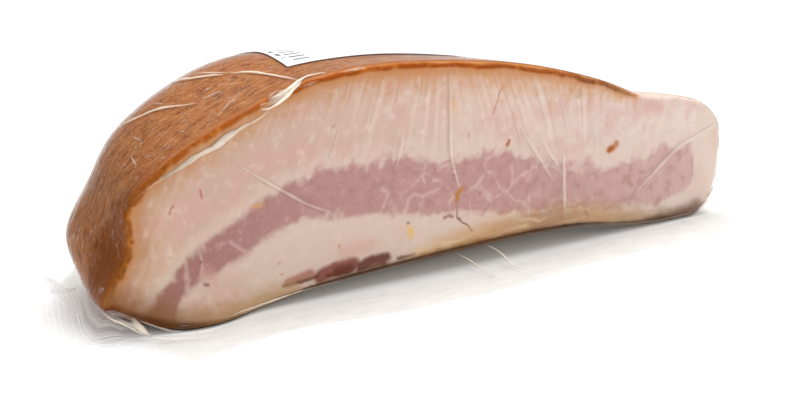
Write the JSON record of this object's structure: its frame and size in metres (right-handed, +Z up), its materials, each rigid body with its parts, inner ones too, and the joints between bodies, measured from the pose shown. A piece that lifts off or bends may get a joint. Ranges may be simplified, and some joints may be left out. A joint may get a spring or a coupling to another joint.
{
  "type": "vacuum-packed smoked pork jowl",
  "caption": "Half-moon piece of smoked pork jowl with one cut face, sealed in clear film with a flat film margin and a blank-style paper label on its rind.",
  "frame": {"origin": "middle of the whole part's footprint, on the table it lies on", "axes": "+Z up, +X along the cut face from the thick rind end to the thin end, the cut face looks towards -Y"},
  "size_m": [0.235, 0.1194, 0.065],
  "materials": {
    "packed_jowl": "gloss",
    "label": "satin"
  },
  "bodies": {
    "root": {"packed_jowl": "packed_jowl", "label": "label"}
  },
  "joints": []
}
